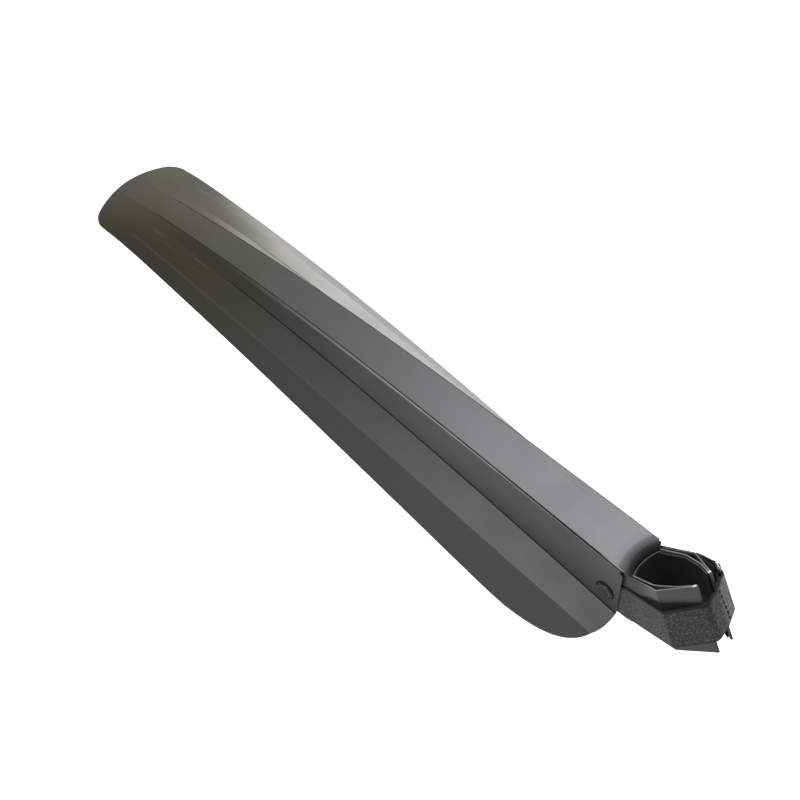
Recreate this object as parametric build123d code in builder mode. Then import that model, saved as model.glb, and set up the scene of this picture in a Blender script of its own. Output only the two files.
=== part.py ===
from build123d import *
from math import asin, cos, degrees, pi, radians, sin, tan
import os

# A bicycle mudguard that hangs on the seatpost. One thin sheet is creased into a top band, two side
# walls and two spreading wings, and it arches down to a rounded tail. At the front the sheet rolls
# over and folds into a cradle, which a strap draws round the seatpost.
#
# Millimetres. +X runs forward along the flat front of the band, +Y to the rider's left and +Z up,
# square to the band. The origin is on the seatpost's axis, halfway down the cradle.
# Lengths called s are measured from the walls' front edges back along the top of the guard.

# The sheet
sheet_t = 0.8
guard_length = 481.5
crease_end = 43.5
tail_turn = 11.0
band_front = 34.0
band_tail = 18.8

# How far each panel reaches out and down, at the front, halfway and where the creases fade out
wall_out = (0.0, 6.0, 6.8)
wall_down = (48.0, 18.8, 3.2)
inner_out = (16.5, 16.4, 14.3)
inner_down = (11.0, 12.4, 4.0)
outer_out = (17.0, 12.4, 9.5)
outer_down = (23.0, 15.7, 1.8)

# Outline seen from above
wing_round_length = 80.0
wing_corner_back = 25.0
wing_corner_reach = 42.0
tail_half_width = 38.2
tail_bow = 10.5
tail_corner_radius = 15.0
relief_back = 0.6
relief_drop = 2.7
relief_radius = 1.8

# The cradle, in the plane square to the seatpost
post_lean = 27.5
post_diameter = 25.4
cradle_height = 50.5
bend_forward = 27.0
bend_reach = 18.7
tip_forward = 50.5
tip_reach = 7.0
nose_radius = 6.5
flap_back = 1.2
flap_bow = 3.0
inner_back = (22.0, 15.0)
inner_fore = (38.0, 11.2)
inner_bend_radius = 15.0
leaf_back = 33.0
leaf_flare_back = 5.0
leaf_top_drop = 11.0
leaf_shoulder_drop = 5.0
bend_top_drop = 2.3
tip_rise = 1.2
leaf_rear_bottom = 38.0
leaf_foot_back = 5.0
leaf_foot_drop = 49.5
tip_drop = 52.6
leaf_corner_radius = 5.0
pad_t = 1.2
pad_drop = 1.0
pad_bend_radius = 2.0

# Strap and its ring
strap_width = 30.0
strap_t = 1.1
strap_drop = 9.8
strap_right_slope = 22.5
strap_left_slope = 14.5
strap_front = 54.0
strap_front_reach = 3.8
strap_turn_radius = 5.0
ring_forward = 46.0
ring_reach = 15.9
ring_inner_width = 4.4
ring_wire = 2.0
ring_radius = 2.5
ring_play = 2.2
hem_length = 5.0
return_length = 28.0

# Rivets
rivet_back = 10.5
rivet_down = 32.0
rivet_head_diameter = 12.5
rivet_head_t = 1.4
rivet_head_edge = 0.6
rivet_shank_diameter = 5.6
rivet_lip = 1.0
pin_head_diameter = 7.6
pin_head_t = 0.8
pin_head_edge = 0.4
pin_diameter = 3.0

# Clearances
gap = 0.1
hole_gap = 0.15

lean = radians(post_lean)
crease_length = guard_length - crease_end
wall_inner = band_front / 2 - sheet_t
post_forward = pad_t + 2 * gap + post_diameter / 2 - flap_back

forward = Vector(cos(lean), 0, sin(lean))
down = Vector(sin(lean), 0, -cos(lean))
across = Vector(0, 1, 0)
corner = forward * -post_forward - down * (cradle_height / 2)

# Seen down the seatpost, from the top of the cradle
cradle_top = Plane(origin=corner, x_dir=forward, z_dir=down * -1)
# Seen along the cradle from behind, and from the guard's side
cradle_back = Plane(origin=corner, x_dir=across, z_dir=forward)
side_view = Plane(origin=corner, x_dir=(1, 0, 0), z_dir=(0, -1, 0))
cradle_side = Plane(origin=corner, x_dir=forward, z_dir=(0, -1, 0))
top_view = Plane(origin=corner, x_dir=(-1, 0, 0), z_dir=(0, 0, -1))


def along(values, t):
    # A smooth curve through the front, middle and tail values.
    front, middle, tail = values
    bend = 2 * (front - 2 * middle + tail)
    return front + (tail - front - bend) * t + bend * t * t


def spine_back(s):
    # How far behind the walls' front edges a point of the spine lies.
    return s - crease_length * radians(tail_turn) ** 2 * (s / crease_length) ** 5 / 10


def spine_plane(s):
    # A plane across the guard. The top of the guard turns down ever more towards the tail.
    t = s / crease_length
    drop = crease_length * radians(tail_turn) * t**3 / 3
    angle = radians(tail_turn) * t * t
    centre = corner + Vector(-spine_back(s), 0, -drop)
    return Plane(origin=centre, x_dir=(0, 1, 0), z_dir=(cos(angle), 0, sin(angle)))


def crease_points(s):
    # The creases and the edge on one side, as reach and height below the top of the band.
    t = min(s / crease_length, 1)
    reach = band_front / 2 + (band_tail - band_front) / 2 * t
    points = [(reach, 0.0)]
    for out, drop in ((wall_out, wall_down), (inner_out, inner_down), (outer_out, outer_down)):
        last = points[-1]
        points.append((last[0] + along(out, t), last[1] - along(drop, t)))
    return points


def faded_points(s, fade):
    # Towards the tail the creased section fades into a plain arch.
    points = crease_points(s)
    edge = points[-1]
    return [(x, z * (1 - fade) + edge[1] * (x / edge[0]) ** 2 * fade) for x, z in points]


def inset(points, amount):
    # The same folded line on the underside of the sheet, mitred at each crease.
    ways = [(Vector(*b) - Vector(*a)).normalized() for a, b in zip(points, points[1:])]
    normals = [Vector(way.Y, -way.X) for way in ways]
    moved = []
    for i, point in enumerate(points):
        before = normals[max(i - 1, 0)]
        after = normals[min(i, len(normals) - 1)]
        mitre = (before + after) * (amount / (1 + before.dot(after)))
        moved.append((point[0] + mitre.X, point[1] + mitre.Y))
    return moved


def side_point(f, d):
    # A point of the cradle, f ahead of its rear and d below its top, as seen from the guard's side.
    return (f * cos(lean) + d * sin(lean), f * sin(lean) - d * cos(lean))


# Leaves and straps tuck in between the side walls, which close in towards the rear
nose_reach = wall_inner - gap
leaf_reach = crease_points(leaf_back)[0][0] - sheet_t - strap_t - 2 * gap
flap_reach = leaf_reach - sheet_t - gap

# The flap is a shallow arc behind the seatpost. Where its roll starts on the band and ends below
flap_radius = (flap_reach**2 + flap_bow**2) / (2 * flap_bow)
flap_side = flap_bow - flap_back
nose_start = nose_radius * tan((pi / 2 - lean) / 2) + flap_back / cos(lean) + 2 * gap
roll_drop = nose_radius * tan((pi / 2 - lean) / 2) + flap_side * tan(lean) + gap

# Middle lines of the outer and inner leaves, from the rear, as distance forward and reach
outer_face = [
    (-leaf_back, leaf_reach),
    (-leaf_flare_back, leaf_reach),
    (bend_forward, bend_reach),
    (tip_forward, tip_reach),
]
outer_path = inset(outer_face, sheet_t / 2)
tip_way = (Vector(*outer_path[3]) - Vector(*outer_path[2])).normalized()
tip_in = Vector(tip_way.Y, -tip_way.X)
outer_tip = Vector(*outer_path[3])
inner_tip = outer_tip + tip_in * (sheet_t + gap)
fold_centre = (outer_tip + inner_tip) / 2
inner_path = [(flap_side, flap_reach - sheet_t / 2), inner_back, inner_fore, (inner_tip.X, inner_tip.Y)]

# The pad lies inside the inner leaves and on the flap
pad_face = inset(inner_path, sheet_t / 2 + gap)

# Side outlines of leaves and pad, as distance forward and height below the cradle's top
leaf_outline = [
    (-leaf_back, -leaf_top_drop),
    (-leaf_flare_back, -leaf_shoulder_drop),
    (bend_forward, -bend_top_drop),
    (tip_forward + 2 * sheet_t, tip_rise),
    (tip_forward + 2 * sheet_t, -tip_drop),
    (bend_forward, -cradle_height),
    (-leaf_foot_back, -leaf_foot_drop),
    (-leaf_back, -leaf_rear_bottom),
]
pad_outline = [
    (-2 * flap_bow, -roll_drop),
    (flap_side + pad_t + gap, -roll_drop),
    (flap_side + 2 * pad_t, -leaf_shoulder_drop - pad_drop),
    (bend_forward, -bend_top_drop - pad_drop),
    (tip_forward, tip_rise - pad_drop),
    (tip_forward, pad_drop - tip_drop),
    (bend_forward, pad_drop - cradle_height),
    (-2 * flap_bow, pad_drop - cradle_height),
]
# The straps' rear ends keep to the leaves' outline, clear of the nose
strap_outline = [
    (2 * strap_front, strap_width),
    (flap_side + sheet_t, strap_width),
    (flap_side - sheet_t, -roll_drop),
    (-leaf_back, -leaf_top_drop),
    (-leaf_back, -leaf_rear_bottom),
    (-leaf_foot_back, -leaf_foot_drop),
    (bend_forward, -cradle_height),
    (2 * strap_front, -cradle_height),
]

# The band that both straps are cut to: it climbs from the right side to the left, less on the left
right_rise = tan(radians(strap_right_slope))
left_rise = tan(radians(strap_left_slope))
strap_band = [
    (-60, -strap_drop - 60 * right_rise),
    (-60, -strap_drop - 60 * right_rise - strap_width),
    (0, -strap_drop - strap_width),
    (60, -strap_drop + 60 * left_rise - strap_width),
    (60, -strap_drop + 60 * left_rise),
    (0, -strap_drop),
]

# Both straps lie outside the outer leaves. From here on, y is to the left in the cradle's plane
strap_face = inset(outer_face, -(gap + strap_t / 2))
leg = (Vector(*strap_face[3]) - Vector(*strap_face[2])).normalized()
front_start = Vector(*strap_face[2]) + leg * ((strap_front - strap_face[2][0]) / leg.X)
front_end = Vector(strap_front, strap_front_reach)

# The ring's two upright bars stand between the straps' loops, seen down the seatpost
ring_middle = Vector(ring_forward, ring_reach)
left_bend = Vector(*strap_face[2])
ring_way = ((ring_middle - front_end).normalized() + (left_bend - ring_middle).normalized()).normalized()
front_bar = ring_middle - ring_way * (ring_inner_width + ring_wire) / 2
rear_bar = ring_middle + ring_way * (ring_inner_width + ring_wire) / 2
wrap = ring_wire / 2 + strap_t / 2 + gap

# The short strap passes outside the front bar, round it and back inside as the hem
to_bar = front_bar - front_end
hem_way = to_bar.normalized().rotate(Axis.Z, -degrees(asin(wrap / to_bar.length)))
hem_out = Vector(hem_way.Y, -hem_way.X)
hem_turn = front_bar + (hem_way + hem_out) * wrap
hem_back = front_bar + (hem_way - hem_out) * wrap
hem_neck = front_bar - hem_way * (wrap * 0.4) - hem_out * wrap
hem_pinch = front_bar - hem_way * (wrap * 2.4) + hem_out * (wrap - strap_t - gap)
hem_end = hem_pinch - hem_way * hem_length
short_points = [(f, -y) for f, y in strap_face[:3]]
short_points += [(front_start.X, -front_start.Y), (front_end.X, front_end.Y)]
short_points += [(p.X, p.Y) for p in (hem_turn, hem_back, hem_neck, hem_pinch, hem_end)]
turn_radius = wrap * 0.88
short_radii = [3, 1, strap_turn_radius, strap_turn_radius, turn_radius, turn_radius, 1, 1]

# The long strap passes inside the rear bar, round it and back outside its first layer
to_ring = rear_bar - left_bend
pull_way = to_ring.normalized().rotate(Axis.Z, -degrees(asin(wrap / to_ring.length)))
pull_in = Vector(pull_way.Y, -pull_way.X)
pull_turn = rear_bar + (pull_way + pull_in) * wrap
pull_back = rear_bar + pull_way * wrap - pull_in * (wrap + 2 * gap)
outer_layer = inset(outer_face, -(2 * gap + 1.5 * strap_t))
return_share = 1 - (return_length - (ring_forward - bend_forward)) / bend_forward
return_end = Vector(*outer_layer[1]) * (1 - return_share) + Vector(*outer_layer[2]) * return_share
long_points = strap_face[:3] + [(p.X, p.Y) for p in (pull_turn, pull_back)]
long_points += [outer_layer[2], (return_end.X, return_end.Y)]
long_radii = [3, 1, turn_radius, turn_radius, 3]

# The rivets' place and their stack, from the leaf's inner face out to the wall
rivet_origin = corner + Vector(-rivet_back, 0, -rivet_down)
rivet_plane = Plane(origin=rivet_origin, x_dir=(1, 0, 0), z_dir=(0, -1, 0))
rivet_section = Plane(origin=rivet_origin, x_dir=(1, 0, 0), z_dir=(0, 0, 1))
rivet_axis = Axis(rivet_origin, (0, 1, 0))
wall_top, wall_foot = crease_points(rivet_back)[:2]
wall_slope = (wall_foot[0] - wall_top[0]) / -wall_foot[1]
wall_outer = wall_top[0] + wall_slope * (rivet_down + rivet_head_diameter / 2)
rivet_seat = wall_outer + gap
leaf_inner = leaf_reach - sheet_t
rivet_end = leaf_inner - 2 * rivet_lip
pin_seat = rivet_seat + rivet_head_t - pin_head_t + gap / 2

# The ring stands through both bars, level with the straps there
ring_rise = ring_reach * left_rise - strap_drop - strap_width / 2
ring_centre = corner + forward * ring_middle.X + across * ring_middle.Y - down * ring_rise
ring_across = forward * ring_way.X + across * ring_way.Y
ring_plane = Plane(origin=ring_centre, x_dir=ring_across, z_dir=ring_across.cross(down * -1))
ring_half_width = (ring_inner_width + ring_wire) / 2
ring_half_height = strap_width / 2 + ring_play + ring_wire / 2

# Where the blade's sections stand, and how far the creases have faded there
stations = [(share * crease_length, 0.0) for share in (-0.01, 0.15, 0.31, 0.47, 0.63)]
stations += [(share * crease_length, fade) for share, fade in ((0.78, 0.1), (0.9, 0.45), (1.0, 0.85))]
stations += [(guard_length + crease_end / 4, 1.0)]


def nose_block(inward):
    # A block under the band whose front rolls down into the flap's arc, smaller by inward all round.
    with BuildPart() as block:
        with BuildSketch(top_view.offset(inward)):
            with Locations((cradle_height / 2, 0)):
                Rectangle(2.2 * cradle_height, 3 * nose_reach)
        extrude(amount=2 * cradle_height)
        with BuildSketch(cradle_top.offset(cradle_height)):
            with Locations((flap_radius - flap_back, 0)):
                Circle(flap_radius + inward)
        extrude(amount=-4 * cradle_height, mode=Mode.SUBTRACT)
        top = block.faces().sort_by(Axis.Z)[-1]
        fillet(top.edges().filter_by(GeomType.LINE, reverse=True), nose_radius - inward)
    return block.part


with BuildPart() as blade:
    for s, fade in stations:
        right = faded_points(s, fade)
        top = [(-x, z) for x, z in reversed(right)] + right
        under = inset(top, sheet_t)
        edge = right[-1]
        curve = -2 * edge[1] / edge[0] ** 2 * fade
        with BuildSketch(spine_plane(s)):
            with BuildLine():
                for line in (top, under):
                    for a, b in zip(line, line[1:]):
                        chord = Vector(*b) - Vector(*a)
                        sag = curve * chord.length**2 / 8
                        rise = Vector(-chord.Y, chord.X).normalized() * (2 * sag)
                        middle = (Vector(*a) + Vector(*b)) / 2 + rise
                        Bezier(a, (middle.X, middle.Y), b)
                Line(top[0], under[0])
                Line(top[-1], under[-1])
            make_face()
    loft()

    # Trim to the outline seen from above, which rounds the wings' front corners and the tail.
    front_reach = wall_inner + 2 * sheet_t
    spread = crease_points(wing_round_length)[-1][0] + gap
    tail_x = spine_back(guard_length)
    side_x = tail_x - tail_bow
    with BuildSketch(top_view.offset(-60)) as outline:
        with BuildLine():
            Line((0, -front_reach), (0, front_reach))
            for side in (1, -1):
                Bezier(
                    (0, side * front_reach),
                    (0, side * wing_corner_reach),
                    (wing_corner_back, side * (spread - 1)),
                    (wing_round_length, side * spread),
                )
                Polyline(
                    (wing_round_length, side * spread),
                    (0.6 * crease_length, side * spread),
                    (side_x, side * tail_half_width),
                )
            ThreePointArc((side_x, tail_half_width), (tail_x, 0), (side_x, -tail_half_width))
        make_face()
        fillet(outline.vertices().sort_by(Axis.X)[-2:], tail_corner_radius)
    extrude(amount=260, mode=Mode.INTERSECT)

    # The band's front strip makes way for the nose.
    with BuildSketch(top_view.offset(-gap)):
        with Locations((nose_start / 2 - 2, 0)):
            Rectangle(nose_start + 4, 2 * nose_reach)
    extrude(amount=sheet_t + 2 * gap, mode=Mode.SUBTRACT)

    # A round relief ends each wall's crease at the front.
    for side in (1, -1):
        with BuildSketch(side_view.offset(side * nose_reach)):
            with Locations((-relief_back, -relief_drop)):
                Circle(relief_radius)
        extrude(amount=side * 10, mode=Mode.SUBTRACT)

# The nose rolls the front of the band down into the flap, a shallow arc behind the seatpost.
with BuildPart() as nose:
    add(nose_block(0))
    add(nose_block(sheet_t), mode=Mode.SUBTRACT)
    # It narrows from the band's width to the flap's, and ends at the cradle's foot.
    with BuildSketch(top_view.offset(-20)):
        with BuildLine():
            for side in (1, -1):
                Polyline(
                    (nose_start, 0),
                    (nose_start, side * nose_reach),
                    (-flap_side, side * nose_reach),
                    (-flap_side - roll_drop * sin(lean), side * flap_reach),
                    (-2 * cradle_height, side * flap_reach),
                    (-2 * cradle_height, 0),
                )
        make_face()
    extrude(amount=200, mode=Mode.INTERSECT)
    with BuildSketch(cradle_side):
        with Locations((0, -2 * cradle_height)):
            Rectangle(4 * cradle_height, 2 * cradle_height)
    extrude(amount=60, both=True, mode=Mode.SUBTRACT)

# Two inner leaves run forward from the flap, beside the seatpost, and fold back at the front edge.
with BuildPart() as leaves:
    with BuildSketch(cradle_top.offset(2 * tip_rise)):
        for side in (1, -1):
            with BuildLine():
                FilletPolyline([(f, side * y) for f, y in inner_path], radius=inner_bend_radius)
            trace(line_width=sheet_t)
            with Locations((fold_centre.X, side * fold_centre.Y)):
                Circle(sheet_t + gap / 2)
            # The outer leaves come back from that fold, spread at one bend and tuck inside the walls.
            with BuildLine():
                Polyline([(f, side * y) for f, y in outer_path])
            trace(line_width=sheet_t)
    extrude(amount=-2 * cradle_height)
    with BuildSketch(cradle_side) as leaf_side:
        with BuildLine():
            Polyline(leaf_outline, close=True)
        make_face()
        fillet(leaf_side.vertices().sort_by(Axis.X)[:2], leaf_corner_radius)
    extrude(amount=60, both=True, mode=Mode.INTERSECT)

with BuildPart() as guard_sheet:
    add(blade.part)
    add(nose.part)
    add(leaves.part)
    with BuildSketch(rivet_plane):
        Circle(rivet_shank_diameter / 2 + hole_gap)
    extrude(amount=60, both=True, mode=Mode.SUBTRACT)

# The rubber pad lines the cradle from one front edge round to the other.
with BuildPart() as cradle_pad:
    with BuildSketch(cradle_top.offset(2 * tip_rise)) as pad_plan:
        with BuildLine():
            left = FilletPolyline(pad_face, radius=inner_bend_radius - sheet_t - gap)
            right_side = mirror(left, about=Plane.XZ)
            Line(left @ 1, right_side @ 1)
            ThreePointArc(left @ 0, (gap - flap_back, 0), right_side @ 0)
        make_face()
        fillet(pad_plan.vertices().sort_by(Axis.X)[:2], pad_bend_radius + pad_t)
        offset(amount=-pad_t, mode=Mode.SUBTRACT)
        with Locations((tip_forward, 0)):
            Rectangle(2 * pad_t + 2 * sheet_t, 4 * tip_reach, mode=Mode.SUBTRACT)
    extrude(amount=-2 * cradle_height)
    with BuildSketch(cradle_side):
        Polygon(*pad_outline, align=None)
    extrude(amount=60, both=True, mode=Mode.INTERSECT)

# The short strap runs from the right rivet round the front, and its hem holds the ring.
with BuildPart() as short_strap:
    with BuildSketch(cradle_top.offset(20)):
        with BuildLine():
            FilletPolyline(short_points, radius=short_radii)
        trace(line_width=strap_t)
    extrude(amount=-120)
    with BuildSketch(cradle_back):
        Polygon(*strap_band, align=None)
    extrude(amount=100, both=True, mode=Mode.INTERSECT)
    with BuildSketch(cradle_side) as short_side:
        with BuildLine():
            Polyline(strap_outline, close=True)
        make_face()
        fillet(short_side.vertices().sort_by(Axis.X)[:2], leaf_corner_radius)
    extrude(amount=60, both=True, mode=Mode.INTERSECT)
    with BuildSketch(rivet_plane):
        Circle(rivet_shank_diameter / 2 + hole_gap)
    extrude(amount=30, mode=Mode.SUBTRACT)

# The long strap runs from the left rivet through the ring and doubles back on itself.
with BuildPart() as long_strap:
    with BuildSketch(cradle_top.offset(20)):
        with BuildLine():
            FilletPolyline(long_points, radius=long_radii)
        trace(line_width=strap_t)
    extrude(amount=-120)
    with BuildSketch(cradle_back):
        Polygon(*strap_band, align=None)
    extrude(amount=100, both=True, mode=Mode.INTERSECT)
    with BuildSketch(cradle_side) as long_side:
        with BuildLine():
            Polyline(strap_outline, close=True)
        make_face()
        fillet(long_side.vertices().sort_by(Axis.X)[:2], leaf_corner_radius)
    extrude(amount=60, both=True, mode=Mode.INTERSECT)
    with BuildSketch(rivet_plane):
        Circle(rivet_shank_diameter / 2 + hole_gap)
    extrude(amount=-30, mode=Mode.SUBTRACT)

# The ring is a rounded rectangle of wire, standing in the straps' two loops.
with BuildPart() as strap_ring:
    with BuildLine(ring_plane) as ring_line:
        FilletPolyline(
            (ring_half_width, -ring_half_height),
            (ring_half_width, ring_half_height),
            (-ring_half_width, ring_half_height),
            (-ring_half_width, -ring_half_height),
            radius=ring_radius,
            close=True,
        )
    with BuildSketch(Plane(origin=ring_line.line @ 0, z_dir=ring_line.line % 0)):
        Circle(ring_wire / 2)
    sweep(transition=Transition.ROUND)

# Snap rivets: a flanged tube through wall, strap and leaf, and a pin pressed into it.
with BuildPart() as rivet_body_left:
    with BuildSketch(rivet_section):
        with BuildLine():
            Polyline(
                (pin_diameter / 2 + gap / 2, rivet_end),
                (rivet_shank_diameter / 2, rivet_end),
                (rivet_shank_diameter / 2 + rivet_lip, rivet_end + rivet_lip),
                (rivet_shank_diameter / 2 + rivet_lip, leaf_inner - gap),
                (rivet_shank_diameter / 2, leaf_inner - gap),
                (rivet_shank_diameter / 2, rivet_seat),
                (rivet_head_diameter / 2, rivet_seat),
                (rivet_head_diameter / 2, rivet_seat + rivet_head_t - rivet_head_edge),
                (rivet_head_diameter / 2 - rivet_head_edge, rivet_seat + rivet_head_t),
                (pin_head_diameter / 2 + gap, rivet_seat + rivet_head_t),
                (pin_head_diameter / 2 + gap, rivet_seat + rivet_head_t - pin_head_t),
                (pin_diameter / 2 + gap / 2, rivet_seat + rivet_head_t - pin_head_t),
                (pin_diameter / 2 + gap / 2, rivet_end),
            )
        make_face()
    revolve(axis=rivet_axis)

with BuildPart() as rivet_pin_left:
    with BuildSketch(rivet_section):
        with BuildLine():
            Polyline(
                (0, rivet_end - gap),
                (pin_diameter / 2, rivet_end - gap),
                (pin_diameter / 2, pin_seat),
                (pin_head_diameter / 2, pin_seat),
                (pin_head_diameter / 2, pin_seat + pin_head_t - pin_head_edge),
                (pin_head_diameter / 2 - pin_head_edge, pin_seat + pin_head_t),
                (0, pin_seat + pin_head_t),
                close=True,
            )
        make_face()
    revolve(axis=rivet_axis)

with BuildPart() as rivet_body_right:
    mirror(rivet_body_left.part, about=Plane.XZ)

with BuildPart() as rivet_pin_right:
    mirror(rivet_pin_left.part, about=Plane.XZ)

guard_sheet.part.label = "guard_sheet"
cradle_pad.part.label = "cradle_pad"
short_strap.part.label = "short_strap"
long_strap.part.label = "long_strap"
strap_ring.part.label = "strap_ring"
rivet_body_left.part.label = "rivet_body_left"
rivet_pin_left.part.label = "rivet_pin_left"
rivet_body_right.part.label = "rivet_body_right"
rivet_pin_right.part.label = "rivet_pin_right"

os.makedirs("parts", exist_ok=True)
export_step(guard_sheet.part, "parts/guard_sheet.step")
export_step(cradle_pad.part, "parts/cradle_pad.step")
export_step(short_strap.part, "parts/short_strap.step")
export_step(long_strap.part, "parts/long_strap.step")
export_step(strap_ring.part, "parts/strap_ring.step")
export_step(rivet_body_left.part, "parts/rivet_body_left.step")
export_step(rivet_pin_left.part, "parts/rivet_pin_left.step")
export_step(rivet_body_right.part, "parts/rivet_body_right.step")
export_step(rivet_pin_right.part, "parts/rivet_pin_right.step")
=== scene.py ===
import math
import bmesh
import bpy
from mathutils import Matrix, Vector, noise


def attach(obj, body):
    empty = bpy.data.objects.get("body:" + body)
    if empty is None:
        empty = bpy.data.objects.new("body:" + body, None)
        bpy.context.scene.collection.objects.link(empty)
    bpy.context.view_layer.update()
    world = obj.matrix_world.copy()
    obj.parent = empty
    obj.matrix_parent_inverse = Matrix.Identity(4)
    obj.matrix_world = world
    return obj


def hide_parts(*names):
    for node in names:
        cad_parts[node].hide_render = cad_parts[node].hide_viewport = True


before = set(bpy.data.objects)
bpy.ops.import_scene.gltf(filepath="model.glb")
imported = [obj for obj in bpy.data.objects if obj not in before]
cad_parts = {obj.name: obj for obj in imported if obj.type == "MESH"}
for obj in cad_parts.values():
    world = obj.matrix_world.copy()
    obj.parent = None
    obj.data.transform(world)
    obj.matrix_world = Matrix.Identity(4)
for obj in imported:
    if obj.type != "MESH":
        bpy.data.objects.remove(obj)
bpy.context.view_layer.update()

# The cradle leans with the seatpost, and the band turns down at its rear top corner.
# All lengths are in metres
lean = math.radians(27.5)
forward = Vector((math.cos(lean), 0, math.sin(lean)))
down = Vector((math.sin(lean), 0, -math.cos(lean)))
across = Vector((0, 1, 0))
corner = forward * -0.0129 - down * 0.02525
corner_ahead = corner.dot(forward)
corner_depth = corner.dot(down)
rivet_middle = corner + Vector((-0.0105, 0, -0.032))

# The sheet's creases, each a + b t + c t squared, with t from 0 at the corner to 1 at their rear end
crease_length = 0.438
band_half_width = (0.017, -0.0076, 0.0)
foot_half_width = (0.017, 0.0096, -0.0104)
foot_drop = (0.048, -0.072, 0.0272)
bend_half_width = (0.0335, 0.0114, -0.0144)

# The band falls by this much at the creases' rear end
band_droop = 0.02803

# The outer leaves fold on these lines, measured forward from the corner
rear_fold = -0.005
front_fold = 0.027


def link(thing):
    bpy.context.scene.collection.objects.link(thing)


# The camera stands to the right, ahead and above, as in the photograph
eye = Vector((0.3139, -0.5654, 1.0419))
look = Vector((-0.4099, 0.4286, -0.8052)).normalized()
up = Vector((-0.5679, 0.5709, 0.5930))
right = look.cross(up).normalized()
up = right.cross(look)
camera_data = bpy.data.cameras.new("camera")
camera_data.lens = 90
camera_data.sensor_width = 36
camera = bpy.data.objects.new("camera", camera_data)
camera.matrix_world = Matrix.Translation(eye) @ Matrix((right, up, -look)).transposed().to_4x4()
link(camera)
bpy.context.scene.camera = camera
bpy.context.scene.view_settings.view_transform = "Standard"


# Nodes

def feed(tree, made, socket, value):
    if isinstance(value, bpy.types.NodeSocket):
        tree.links.new(value, made.inputs[socket])
    else:
        made.inputs[socket].default_value = value


def node(tree, kind, inputs=None, **settings):
    made = tree.nodes.new(kind)
    for name, value in settings.items():
        setattr(made, name, value)
    for socket, value in (inputs or {}).items():
        feed(tree, made, socket, value)
    return made


def maths(tree, operation, *values):
    return node(tree, "ShaderNodeMath", dict(enumerate(values)), operation=operation).outputs[0]


def overlap(tree, *masks):
    # Where all of the masks are at once.
    shared = masks[0]
    for mask in masks[1:]:
        shared = maths(tree, "MULTIPLY", shared, mask)
    return shared


def vector_maths(tree, operation, *values):
    return node(tree, "ShaderNodeVectorMath", dict(enumerate(values)), operation=operation).outputs


def rise(tree, value, start, end):
    # 0 at start, 1 at end and smooth between them, where end may be the lower one.
    limits = {"Value": value, "From Min": start, "From Max": end}
    return node(tree, "ShaderNodeMapRange", limits, interpolation_type="SMOOTHSTEP").outputs[0]


def blend(tree, share, under, over, mode="MIX"):
    made = node(tree, "ShaderNodeMix", data_type="RGBA", blend_type=mode)
    for socket, value in ((0, share), (6, under), (7, over)):
        feed(tree, made, socket, value)
    return made.outputs[2]


def grey(level):
    return (level, level, level, 1)


def object_place(tree):
    return node(tree, "ShaderNodeTexCoord").outputs["Object"]


def object_normal(tree):
    return node(tree, "ShaderNodeTexCoord").outputs["Normal"]


def axes(tree, vector):
    return node(tree, "ShaderNodeSeparateXYZ", {0: vector}).outputs


def along(tree, direction):
    # How far the surface lies in a direction, from the middle of the seatpost.
    return vector_maths(tree, "DOT_PRODUCT", object_place(tree), direction)["Value"]


def off_middle(tree):
    # Distance from the part's middle plane.
    return maths(tree, "ABSOLUTE", axes(tree, object_place(tree))["Y"])


def facing_up(tree):
    # How far the surface faces up the seatpost, from -1 to 1.
    return vector_maths(tree, "DOT_PRODUCT", object_normal(tree), -down)["Value"]


def new_group(name, sockets_in, sockets_out):
    group = bpy.data.node_groups.new(name, "ShaderNodeTree")
    for socket, value in sockets_in:
        made = group.interface.new_socket(socket, in_out="INPUT", socket_type="NodeSocketFloat")
        made.default_value = value
    for socket in sockets_out:
        group.interface.new_socket(socket, in_out="OUTPUT", socket_type="NodeSocketFloat")
    return group, group.nodes.new("NodeGroupInput").outputs, group.nodes.new("NodeGroupOutput").inputs


def use(tree, group, inputs=None):
    made = tree.nodes.new("ShaderNodeGroup")
    made.node_tree = group
    for socket, value in (inputs or {}).items():
        made.inputs[socket].default_value = value
    return made.outputs


def set_pitch(group, texture, millimetres):
    # Scales a texture so that its grains are as large as given.
    group.links.new(maths(group, "DIVIDE", 1000.0, millimetres), texture.inputs["Scale"])


# Shared effects

def make_grain():
    # Fine pebble grain with broad soft unevenness, sizes in millimetres.
    group, given, out = new_group("grain", (("Grain Size", 0.6), ("Cloud Size", 25.0)), ("Height", "Cloud"))
    place = object_place(group)
    fine = node(group, "ShaderNodeTexNoise", {"Vector": place, "Detail": 3.0, "Roughness": 0.6})
    set_pitch(group, fine, given["Grain Size"])
    broad = node(group, "ShaderNodeTexNoise", {"Vector": place, "Detail": 2.0, "Roughness": 0.5})
    set_pitch(group, broad, given["Cloud Size"])
    group.links.new(fine.outputs[0], out["Height"])
    group.links.new(broad.outputs[0], out["Cloud"])
    return group


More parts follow.
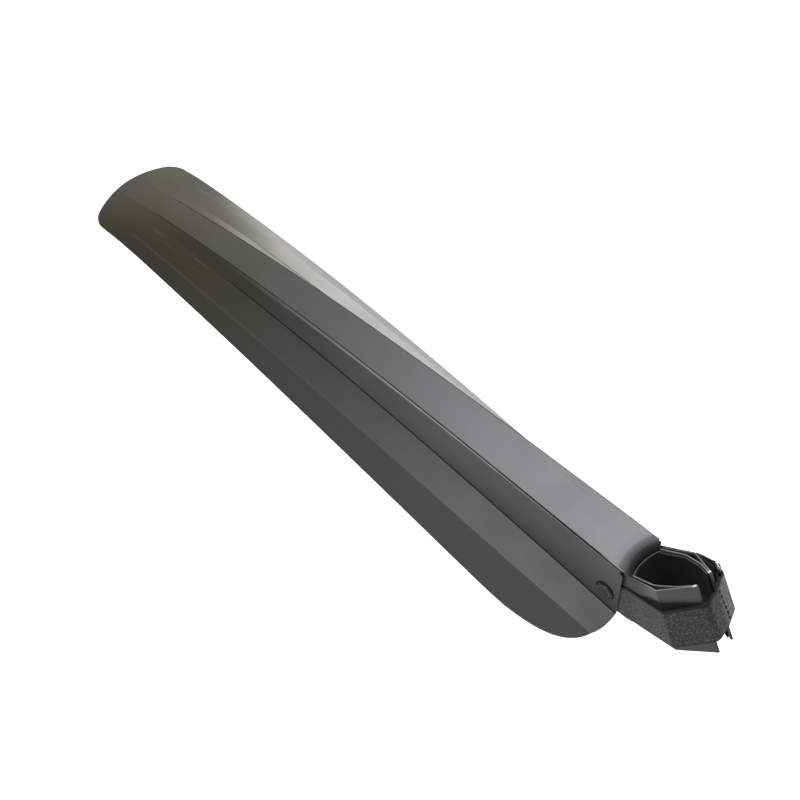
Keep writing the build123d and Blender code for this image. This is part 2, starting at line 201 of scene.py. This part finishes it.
def make_specks():
    # Sparse dust specks, spaced in millimetres, and short rubbed marks along the sheet.
    group, given, out = new_group("specks", (("Spacing", 9.0), ("Size", 0.035)), ("Speck", "Rub"))
    place = object_place(group)
    cells = node(group, "ShaderNodeTexVoronoi", {"Vector": place})
    set_pitch(group, cells, given["Spacing"])
    inside = maths(group, "LESS_THAN", cells.outputs["Distance"], given["Size"])
    chance = node(group, "ShaderNodeSeparateColor", {0: cells.outputs["Color"]}).outputs[0]
    group.links.new(overlap(group, inside, maths(group, "GREATER_THAN", chance, 0.55)), out["Speck"])
    drawn_out = {"Vector": place, "Rotation": (0.2, 0.1, 0.4), "Scale": (25, 900, 400)}
    stretched = node(group, "ShaderNodeMapping", drawn_out).outputs[0]
    streaks = node(group, "ShaderNodeTexNoise", {"Vector": stretched, "Scale": 1.0, "Detail": 2.0})
    patches = node(group, "ShaderNodeTexNoise", {"Vector": place, "Scale": 28.0, "Detail": 1.0})
    streaked = rise(group, streaks.outputs[0], 0.62, 0.74)
    patched = rise(group, patches.outputs[0], 0.5, 0.66)
    group.links.new(overlap(group, streaked, patched), out["Rub"])
    return group


def make_fold_lines():
    # The creases of the folded sheet, from the same measures as its panels.
    group, _, out = new_group("fold lines", (), ("Crease Shade", "Bend Highlight", "Soft", "Tail"))
    place = axes(group, object_place(group))
    side = maths(group, "ABSOLUTE", place["Y"])
    t = maths(group, "DIVIDE", maths(group, "SUBTRACT", corner.x, place["X"]), crease_length)
    square = maths(group, "MULTIPLY", t, t)
    cube = maths(group, "MULTIPLY", square, t)

    def curve(shares):
        a, b, c = shares
        return maths(group, "MULTIPLY_ADD", square, c, maths(group, "MULTIPLY_ADD", t, b, a))

    def off(value, shares):
        return maths(group, "SUBTRACT", value, curve(shares))

    band_height = maths(group, "MULTIPLY_ADD", cube, -band_droop, corner.z)
    below = maths(group, "SUBTRACT", band_height, place["Z"])
    past_edge = off(side, band_half_width)
    foot_beside = off(side, foot_half_width)
    foot_below = off(below, foot_drop)
    foot_square = maths(group, "MULTIPLY", foot_below, foot_below)
    foot_away = maths(group, "SQRT", maths(group, "MULTIPLY_ADD", foot_beside, foot_beside, foot_square))
    bend_away = maths(group, "ABSOLUTE", off(side, bend_half_width))
    # The creases end a little before the tail, and none run on into the cradle
    on_guard = overlap(group, rise(group, t, 1.0, 0.985), rise(group, t, -0.002, 0.0))

    # Painted shade in a dark line on the band beside each crease, and another at the walls' feet
    beside = maths(group, "ABSOLUTE", maths(group, "ADD", past_edge, 0.0002))
    on_band = overlap(group, rise(group, beside, 0.00045, 0.0002), rise(group, below, 0.002, 0.0014))
    at_foot = rise(group, foot_away, 0.0007, 0.0003)
    crease_shade = overlap(group, maths(group, "MAXIMUM", on_band, at_foot), on_guard)
    group.links.new(crease_shade, out["Crease Shade"])

    # A painted highlight in a light strip at the top of each wall, where the bend turns, which fades
    # rearwards
    strip = overlap(group, rise(group, below, 0.0026, 0.0014), rise(group, past_edge, -0.0002, 0.0))
    group.links.new(overlap(group, strip, on_guard, rise(group, t, 0.85, 0.3)), out["Bend Highlight"])

    # A painted highlight along the soft crease between the wings
    group.links.new(overlap(group, rise(group, bend_away, 0.0011, 0.0002), on_guard), out["Soft"])
    group.links.new(rise(group, t, 0.2, 1.05), out["Tail"])
    return group


def make_nose_roll_shade():
    # Painted shade, and a rougher finish, on the roll that turns the band down behind the seatpost.
    group, _, out = new_group("nose roll", (), ("Roll",))
    place = axes(group, object_place(group))
    facing = axes(group, object_normal(group))
    side = off_middle(group)
    # The shade begins on the band, further forward at its sides, and is full where the sheet turns
    bow = maths(group, "MULTIPLY", maths(group, "MULTIPLY", side, side), -13.0)
    bowed = maths(group, "ADD", bow, maths(group, "ADD", place["X"], 0.0035))
    coming = maths(group, "MULTIPLY", rise(group, bowed, corner.x - 0.0125, corner.x - 0.001), 0.8)
    turned = maths(group, "MAXIMUM", rise(group, facing["X"], 0.02, 0.4), coming)
    # It keeps to faces that look up, between the walls and up to 4 mm ahead of the corner
    behind = rise(group, along(group, forward), corner_ahead + 0.004, corner_ahead + 0.002)
    upward = rise(group, facing["Z"], 0.2, 0.35)
    between = rise(group, side, 0.0162, 0.0161)
    group.links.new(overlap(group, turned, behind, upward, between), out["Roll"])
    return group


def make_strap_gap_shadow():
    # Painted shadow in the gap where an outer leaf goes down behind the strap.
    group, _, out = new_group("strap gap", (), ("Gap",))
    ahead = along(group, forward)
    depth = along(group, down)
    # The strap's top edge lies higher on the leaf towards the front
    climbing = rise(group, ahead, corner_ahead - 0.002, corner_ahead + front_fold)
    start = maths(group, "MULTIPLY_ADD", climbing, -0.006, corner_depth + 0.0145)
    darkening = maths(group, "DIVIDE", maths(group, "SUBTRACT", depth, start), 0.004)
    low = node(group, "ShaderNodeMapRange", {"Value": darkening}).outputs["Result"]
    above_foot = rise(group, depth, corner_depth + 0.036, corner_depth + 0.03)
    from_rear = rise(group, ahead, corner_ahead - 0.004, corner_ahead - 0.002)
    beside = rise(group, off_middle(group), 0.006, 0.007)
    group.links.new(overlap(group, low, above_foot, from_rear, beside), out["Gap"])
    return group


def make_rivet_ring():
    # A ring round the line through both rivets, sizes in metres.
    group, given, out = new_group("rivet ring", (("Radius", 0.005), ("Half Width", 0.0004)), ("Ring",))
    offset = vector_maths(group, "SUBTRACT", object_place(group), rivet_middle)["Vector"]
    in_side_view = vector_maths(group, "MULTIPLY", offset, (1, 0, 1))["Vector"]
    away = vector_maths(group, "LENGTH", in_side_view)["Value"]
    off = maths(group, "ABSOLUTE", maths(group, "SUBTRACT", away, given["Radius"]))
    outer = maths(group, "MULTIPLY", given["Half Width"], 1.5)
    inner = maths(group, "MULTIPLY", given["Half Width"], 0.5)
    group.links.new(rise(group, off, outer, inner), out["Ring"])
    return group


def make_pile():
    # Loop pile of hook-and-loop webbing: tufts in rows, with light fibre ends.
    group, given, out = new_group("pile", (("Row Pitch", 1.3),), ("Height", "Fibre"))
    place = object_place(group)
    turned = node(group, "ShaderNodeMapping", {"Vector": place, "Rotation": (0, -lean, 0)}).outputs[0]
    tall = node(group, "ShaderNodeMapping", {"Vector": turned, "Scale": (1, 1, 0.6)}).outputs[0]
    rows = node(group, "ShaderNodeTexVoronoi", {"Vector": tall})
    set_pitch(group, rows, given["Row Pitch"])
    fraying = {"Vector": place, "Scale": 2600.0, "Detail": 4.0, "Roughness": 0.75}
    frayed = node(group, "ShaderNodeTexNoise", fraying).outputs[0]
    long_way = node(group, "ShaderNodeMapping", {"Vector": turned, "Scale": (1000, 1000, 300)}).outputs[0]
    combed = node(group, "ShaderNodeTexNoise", {"Vector": long_way, "Scale": 1.0, "Detail": 3.0}).outputs[0]
    tuft = rise(group, rows.outputs["Distance"], 0.75, 0.15)
    height = maths(group, "MULTIPLY_ADD", frayed, 0.5, maths(group, "MULTIPLY", tuft, 0.5))
    ends = overlap(group, rise(group, frayed, 0.5, 0.68), rise(group, combed, 0.46, 0.6))
    group.links.new(height, out["Height"])
    group.links.new(ends, out["Fibre"])
    return group


grain = make_grain()
specks = make_specks()
fold_lines = make_fold_lines()
nose_roll_shade = make_nose_roll_shade()
strap_gap_shadow = make_strap_gap_shadow()
rivet_ring = make_rivet_ring()
pile = make_pile()


# Materials

def new_material(name, roughness):
    material = bpy.data.materials.new(name)
    material.use_nodes = True
    shader = material.node_tree.nodes["Principled BSDF"]
    shader.inputs["Roughness"].default_value = roughness
    return material, material.node_tree, shader.inputs


def roughen(tree, shader, height, distance, strength):
    bump = node(tree, "ShaderNodeBump", {"Height": height, "Distance": distance, "Strength": strength})
    tree.links.new(bump.outputs[0], shader["Normal"])


def tint(tree, mask, strength, under, over):
    return blend(tree, maths(tree, "MULTIPLY", mask, strength), under, over)


def ring_mask(tree, radius, half_width):
    return use(tree, rivet_ring, {"Radius": radius, "Half Width": half_width})["Ring"]


def sheet_plastic(name, front, tail, roughness, lines):
    # Satin sheet, cooler at the cradle and olive towards the tail, where it is also darker as painted shade.
    material, tree, shader = new_material(name, roughness)
    folds = use(tree, fold_lines)
    marks = use(tree, specks, {"Spacing": 6.5, "Size": 0.045})
    texture = use(tree, grain, {"Grain Size": 0.55, "Cloud Size": 32.0})
    roll = use(tree, nose_roll_shade)["Roll"]
    # Painted shadow behind the strap, and in a line round each rivet's head
    gap_shadow = maths(tree, "MAXIMUM", use(tree, strap_gap_shadow)["Gap"], ring_mask(tree, 0.0067, 0.00045))
    colour = blend(tree, folds["Tail"], (*front, 1), (*tail, 1))
    colour = blend(tree, rise(tree, texture["Cloud"], 0.35, 0.7), colour, (0.92, 0.93, 0.9, 1), "MULTIPLY")
    # Painted shade on the nose roll
    colour = blend(tree, roll, colour, grey(0.012))
    # Painted shadow behind the strap and round the rivet heads
    colour = blend(tree, gap_shadow, colour, grey(0.002))
    if lines:
        # A lighter line along the soft crease, a painted highlight
        colour = tint(tree, folds["Soft"], 0.12, colour, (0.16, 0.16, 0.155, 1))
        # Painted highlight at the top of each wall
        colour = blend(tree, folds["Bend Highlight"], colour, grey(0.44))
        # Painted shade along the creases
        colour = blend(tree, folds["Crease Shade"], colour, grey(0.003))
    colour = tint(tree, marks["Speck"], 0.35, colour, (0.24, 0.24, 0.23, 1))
    colour = tint(tree, marks["Rub"], 0.12, colour, grey(0.2))
    gloss = maths(tree, "MULTIPLY_ADD", texture["Cloud"], 0.1, roughness - 0.05)
    gloss = maths(tree, "MAXIMUM", maths(tree, "MULTIPLY_ADD", marks["Rub"], 0.12, gloss), gap_shadow)
    gloss = maths(tree, "MAXIMUM", gloss, maths(tree, "MULTIPLY", roll, 0.7))
    if lines:
        # The dark crease lines are also matt
        gloss = maths(tree, "MAXIMUM", gloss, maths(tree, "MULTIPLY", folds["Crease Shade"], 0.95))
    else:
        # Painted highlight on the leaves' cut ends
        leaf_end_highlight = rise(tree, along(tree, forward), corner_ahead + 0.047, corner_ahead + 0.049)
        colour = blend(tree, leaf_end_highlight, colour, grey(0.8))
    tree.links.new(colour, shader["Base Color"])
    tree.links.new(gloss, shader["Roughness"])
    roughen(tree, shader, texture["Height"], 0.00004, 0.35)
    return material


def selvedge_and_shadow_mask(tree):
    # The bare woven edges of the webbing, whose top edge drops from the far side to the near one. The band at
    # the top edge is the wider one, partly painted shadow where the strap meets the leaf.
    beside = axes(tree, object_place(tree))["Y"]
    near_slope = 0.4142
    far_slope = 0.2586
    sides = [maths(tree, "MULTIPLY", beside, slope) for slope in (near_slope, far_slope)]
    depth = maths(tree, "SUBTRACT", along(tree, down), corner_depth + 0.0098)
    from_top = maths(tree, "ADD", depth, maths(tree, "MINIMUM", *sides))
    top = rise(tree, from_top, 0.0026, 0.0018)
    foot = rise(tree, from_top, 0.0286, 0.029)
    return maths(tree, "MAXIMUM", top, foot)


def loop_webbing(name):
    material, tree, shader = new_material(name, 0.95)
    tufts = use(tree, pile, {"Row Pitch": 1.25})
    ends = use(tree, specks, {"Spacing": 1.05, "Size": 0.27})
    deep = (0.036, 0.037, 0.038, 1)
    proud = (0.074, 0.075, 0.077, 1)
    colour = blend(tree, rise(tree, tufts["Height"], 0.3, 0.7), deep, proud)
    colour = tint(tree, tufts["Fibre"], 0.3, colour, (0.3, 0.31, 0.31, 1))
    colour = tint(tree, ends["Speck"], 0.6, colour, (0.45, 0.45, 0.44, 1))
    cut = rise(tree, maths(tree, "ABSOLUTE", facing_up(tree)), 0.55, 0.85)
    # Dark cut faces and woven edges, with painted shadow along the top edge
    bare_and_shadow = maths(tree, "MAXIMUM", cut, maths(tree, "MULTIPLY", selvedge_and_shadow_mask(tree), 0.85))
    tree.links.new(blend(tree, bare_and_shadow, colour, grey(0.008)), shader["Base Color"])
    shader["Sheen Weight"].default_value = 0.25
    shader["Sheen Roughness"].default_value = 0.5
    shader["Specular IOR Level"].default_value = 0.25
    roughen(tree, shader, tufts["Height"], 0.0002, 0.6)
    return material


def liner_rubber(name):
    material, tree, shader = new_material(name, 0.85)
    texture = use(tree, grain, {"Grain Size": 0.45, "Cloud Size": 6.0})
    colour = blend(tree, rise(tree, texture["Height"], 0.4, 0.7), grey(0.006), (0.014, 0.014, 0.013, 1))
    # Its upper cut edge is paler and mottled
    cut = overlap(tree, rise(tree, facing_up(tree), 0.45, 0.8), rise(tree, texture["Height"], 0.3, 0.62))
    tree.links.new(blend(tree, cut, colour, (0.11, 0.11, 0.105, 1)), shader["Base Color"])
    shader["Specular IOR Level"].default_value = 0.3
    roughen(tree, shader, texture["Height"], 0.00012, 0.6)
    return material


def gloss_plastic(name):
    material, tree, shader = new_material(name, 0.22)
    texture = use(tree, grain, {"Grain Size": 0.3, "Cloud Size": 3.0})
    colour = blend(tree, texture["Cloud"], (0.026, 0.026, 0.027, 1), (0.044, 0.044, 0.045, 1))
    # Painted shade in a dark ring on the head, and a painted highlight in a light one just inside it, round
    # the dish
    colour = blend(tree, ring_mask(tree, 0.0051, 0.0004), colour, grey(0.002))
    colour = blend(tree, ring_mask(tree, 0.0044, 0.0003), colour, grey(0.15))
    tree.links.new(colour, shader["Base Color"])
    tree.links.new(maths(tree, "MULTIPLY_ADD", texture["Cloud"], 0.12, 0.3), shader["Roughness"])
    roughen(tree, shader, texture["Height"], 0.00002, 0.25)
    return material


def drawn_steel(name):
    material, tree, shader = new_material(name, 0.22)
    shader["Metallic"].default_value = 1.0
    texture = use(tree, grain, {"Grain Size": 0.25, "Cloud Size": 4.0})
    colour = blend(tree, texture["Cloud"], grey(0.16), (0.26, 0.26, 0.255, 1))
    tree.links.new(colour, shader["Base Color"])
    tree.links.new(maths(tree, "MULTIPLY_ADD", texture["Height"], 0.25, 0.1), shader["Roughness"])
    roughen(tree, shader, texture["Height"], 0.00002, 0.3)
    return material


def thread_fibre(name):
    material, tree, shader = new_material(name, 0.7)
    texture = use(tree, grain, {"Grain Size": 0.2, "Cloud Size": 2.0})
    colour = blend(tree, texture["Height"], grey(0.003), grey(0.012))
    tree.links.new(colour, shader["Base Color"])
    roughen(tree, shader, texture["Height"], 0.0001, 0.6)
    return material


front_grey = (0.07, 0.072, 0.074)
tail_olive_and_shade = (0.034, 0.031, 0.017)
cut_front = (0.15, 0.15, 0.15)
cut_tail = (0.1, 0.1, 0.085)
sheet = sheet_plastic("satin sheet", front_grey, tail_olive_and_shade, 0.38, lines=True)
cut_sheet = sheet_plastic("cut sheet edge", cut_front, cut_tail, 0.5, lines=False)
webbing = loop_webbing("loop webbing")
liner = liner_rubber("liner rubber")
steel = drawn_steel("drawn steel")
rivet_plastic = gloss_plastic("rivet plastic")
thread = thread_fibre("hem thread")


# Pieces

def place_piece(name, mesh, material, slot, *replaced):
    piece = bpy.data.objects.new(name, mesh)
    link(piece)
    mesh.materials.append(material)
    if replaced:
        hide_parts(*replaced)
    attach(piece, "root")
    return piece


def merged_copy(name):
    shape = bmesh.new()
    shape.from_mesh(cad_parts[name].data)
    bmesh.ops.remove_doubles(shape, verts=shape.verts, dist=0.000002)
    return shape


def to_mesh(shape, name):
    mesh = bpy.data.meshes.new(name)
    shape.to_mesh(mesh)
    shape.free()
    return mesh


def smooth_faces(shape):
    for face in shape.faces:
        face.smooth = True


def off_creases(point):
    # How far a point of the sheet is to the side of its nearest crease.
    t = min((corner.x - point.x) / crease_length, 1)
    creases = (band_half_width, foot_half_width, bend_half_width)
    reaches = [start + slope * t + curve * t * t for start, slope, curve in creases]
    return min(abs(abs(point.y) - reach) for reach in reaches)


def on_crease(edge):
    # Whether an edge runs lengthwise along one of the sheet's creases.
    a, b = (end.co for end in edge.verts)
    lengthwise = abs((a - b).normalized().x) >= 0.9
    return lengthwise and all(off_creases(point) <= 0.0009 for point in (a, b))


def on_leaf_fold(edge):
    # Whether an edge is a fold of an outer leaf, which stands up the seatpost.
    a, b = (end.co for end in edge.verts)
    upright = abs((a - b).normalized().dot(down)) > 0.95
    ahead = ((a + b) / 2 - corner).dot(forward)
    at_fold = abs(ahead - rear_fold) < 0.001 or abs(ahead - front_fold) < 0.0025
    return upright and at_fold and abs(a.y) > 0.0132


def close_nose_corners(shape):
    # The nose's sides go out to the walls, and the leaves' rear corners up to the band.
    nose_half_width = 0.0161
    outwards = 0.0007
    upwards = 0.0015
    for vertex in shape.verts:
        place = vertex.co - corner
        beside = abs(place.y)
        at_nose = place.x > -0.008 and -0.02 < place.z < -0.0009
        if abs(beside - nose_half_width) < 0.0001 and at_nose:
            vertex.co.y += math.copysign(outwards, place.y)
        at_leaf_top = place.dot(down) < 0.007 and 0.013 < beside < 0.0145
        if abs(place.dot(forward) - rear_fold) < 0.0008 and at_leaf_top:
            vertex.co -= down * upwards


def is_cut_edge(face):
    # Whether a face lies on the sheet's rim, as low as the sheet is thick and square to a broad face.
    rim_height = 0.00083
    longest = max(edge.calc_length() for edge in face.edges)
    rims = [edge for edge in face.edges if edge.calc_length() > longest / 2]
    square = any(math.radians(80) < edge.calc_face_angle(0) < math.radians(100) for edge in rims)
    return square and 2 * face.calc_area() / longest < rim_height


def folded_sheet():
    # The sheet with its creases kept sharp and its cut edges in a lighter tone.
    sharp = math.radians(28)
    slight = math.radians(2.5)
    shape = merged_copy("guard_sheet")
    close_nose_corners(shape)
    smooth_faces(shape)
    for edge in shape.edges:
        angle = edge.calc_face_angle(0)
        if angle > sharp or angle > slight and (on_crease(edge) or on_leaf_fold(edge)):
            edge.smooth = False
    for face in shape.faces:
        if is_cut_edge(face):
            face.material_index = 1
    piece = place_piece("folded_sheet", to_mesh(shape, "folded_sheet"), sheet, "sheet", "guard_sheet")
    piece.data.materials.append(cut_sheet)
    even = piece.modifiers.new("even", "WEIGHTED_NORMAL")
    even.keep_sharp = True


def remeshed(shape, voxel):
    rough = bpy.data.objects.new("rough", to_mesh(shape, "rough"))
    link(rough)
    remesh = rough.modifiers.new("even", "REMESH")
    remesh.mode = "VOXEL"
    remesh.voxel_size = voxel
    mesh = bpy.data.meshes.new_from_object(rough.evaluated_get(bpy.context.evaluated_depsgraph_get()))
    bpy.data.objects.remove(rough)
    return mesh


def soft_copy(node_name, name, voxel, material, slot, inward, uneven):
    # An even mesh of a soft solid, slightly uneven, that keeps inside the solid's own skin.
    shape = merged_copy(node_name)
    shape.normal_update()
    for vertex in shape.verts:
        vertex.co -= vertex.normal * inward
    mesh = remeshed(shape, voxel)
    mesh.name = name
    shape = bmesh.new()
    shape.from_mesh(mesh)
    every_way = {"use_axis_x": True, "use_axis_y": True, "use_axis_z": True}
    bmesh.ops.smooth_vert(shape, verts=shape.verts, factor=0.5, **every_way)
    shape.normal_update()
    # Unevenness of about 1 mm and 8 mm across
    moves = []
    for vertex in shape.verts:
        fine = noise.noise(vertex.co * 900)
        broad = noise.noise(vertex.co * 120 + Vector((7, 3, 5)))
        moves.append(vertex.normal * (inward * 0.7 + uneven * (0.6 * fine + 0.4 * broad)))
    for vertex, move in zip(shape.verts, moves):
        vertex.co += move
    smooth_faces(shape)
    shape.to_mesh(mesh)
    shape.free()
    place_piece(name, mesh, material, slot, node_name)


def hem_stitches():
    # One row of short stitches down the hem that holds the ring.
    stitches = 6
    first_depth = 0.0115
    pitch = 0.0046
    middle_depth = 0.016
    ahead = 0.0541
    beside = 0.0058
    outwards_slope = 0.09
    hem_slant = 0.347
    half_size = (0.0004, 0.0007, 0.0016, 1)
    up_the_post = Matrix((forward, across, -down)).transposed().to_4x4()
    turned = up_the_post @ Matrix.Rotation(math.radians(5), 4, "X") @ Matrix.Diagonal(half_size)
    shape = bmesh.new()
    for i in range(stitches):
        depth = first_depth + pitch * i
        outwards = (depth - middle_depth) * outwards_slope
        seat = corner + forward * (ahead - outwards * hem_slant) + across * (beside + outwards) + down * depth
        place = Matrix.Translation(seat) @ turned
        bmesh.ops.create_uvsphere(shape, u_segments=12, v_segments=8, radius=1, matrix=place)
    smooth_faces(shape)
    place_piece("hem_stitches", to_mesh(shape, "hem_stitches"), thread, "strap")


def dress(node_name, material):
    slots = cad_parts[node_name].data.materials
    slots.clear()
    slots.append(material)


folded_sheet()
soft_copy("short_strap", "short_webbing", 0.00037, webbing, "strap", 0.00011, 0.00009)
soft_copy("long_strap", "long_webbing", 0.00037, webbing, "strap", 0.00011, 0.00009)
soft_copy("cradle_pad", "cradle_liner", 0.00043, liner, "pad", 0.00006, 0.00006)
hem_stitches()
dress("strap_ring", steel)
for side in ("left", "right"):
    dress("rivet_body_" + side, rivet_plastic)
    dress("rivet_pin_" + side, rivet_plastic)


# Light and surroundings

guard_middle = Vector((-0.22, 0, 0))


def softbox(name, place, width, height, power, colour):
    # A soft lamp aimed at the middle of the guard.
    light = bpy.data.lights.new(name, "AREA")
    light.color = colour
    light.shape = "RECTANGLE"
    light.size = width
    light.size_y = height
    light.energy = power
    lamp = bpy.data.objects.new(name, light)
    lamp.location = place
    lamp.rotation_euler = (guard_middle - Vector(place)).to_track_quat("-Z", "Y").to_euler()
    link(lamp)


def pale_floor(height):
    # Plain pale floor, well below the part, which hangs by its mount.
    shape = bmesh.new()
    place = Matrix.Translation((0, 0, height))
    bmesh.ops.create_grid(shape, x_segments=1, y_segments=1, size=6, matrix=place)
    floor = bpy.data.objects.new("floor", to_mesh(shape, "floor"))
    link(floor)
    material, tree, shader = new_material("pale floor", 0.9)
    shader["Base Color"].default_value = grey(0.9)
    seen = node(tree, "ShaderNodeLightPath").outputs["Is Camera Ray"]
    tree.links.new(seen, shader["Emission Color"])
    shader["Emission Strength"].default_value = 0.45
    floor.data.materials.append(material)


def light_room():
    # The room is white to the camera. Its light is weaker ahead of the part and behind it on the
    # near side, and stronger behind it on the far side.
    world = bpy.data.worlds.new("world")
    world.use_nodes = True
    bpy.context.scene.world = world
    room = world.node_tree
    background = room.nodes["Background"]
    background.inputs["Color"].default_value = grey(1)
    way = axes(room, node(room, "ShaderNodeTexCoord").outputs["Generated"])
    ahead = rise(room, way["X"], -0.1, 0.7)
    near_rear = overlap(room, rise(room, way["X"], -0.2, -0.6), rise(room, way["Y"], 0.2, -0.2))
    far_rear = overlap(room, rise(room, way["X"], -0.4, -0.7), rise(room, way["Y"], 0.05, 0.35))
    level = maths(room, "MULTIPLY_ADD", ahead, -0.38, 0.5)
    level = maths(room, "MULTIPLY_ADD", near_rear, -0.4, level)
    level = maths(room, "MULTIPLY_ADD", far_rear, 0.6, level)
    seen = node(room, "ShaderNodeLightPath").outputs["Is Camera Ray"]
    room.links.new(maths(room, "MAXIMUM", level, seen), background.inputs["Strength"])


softbox("top_light", (-0.38, 0.65, 1.25), 0.7, 0.9, 18, (0.92, 0.95, 1.0))
softbox("far_light", (-0.2, 1.5, 0.0), 2.2, 0.5, 27, (1.0, 0.99, 0.95))
softbox("near_light", (-0.15, -1.05, 0.95), 0.7, 0.6, 5.8, (1.0, 0.985, 0.95))
pale_floor(-0.3)
light_room()
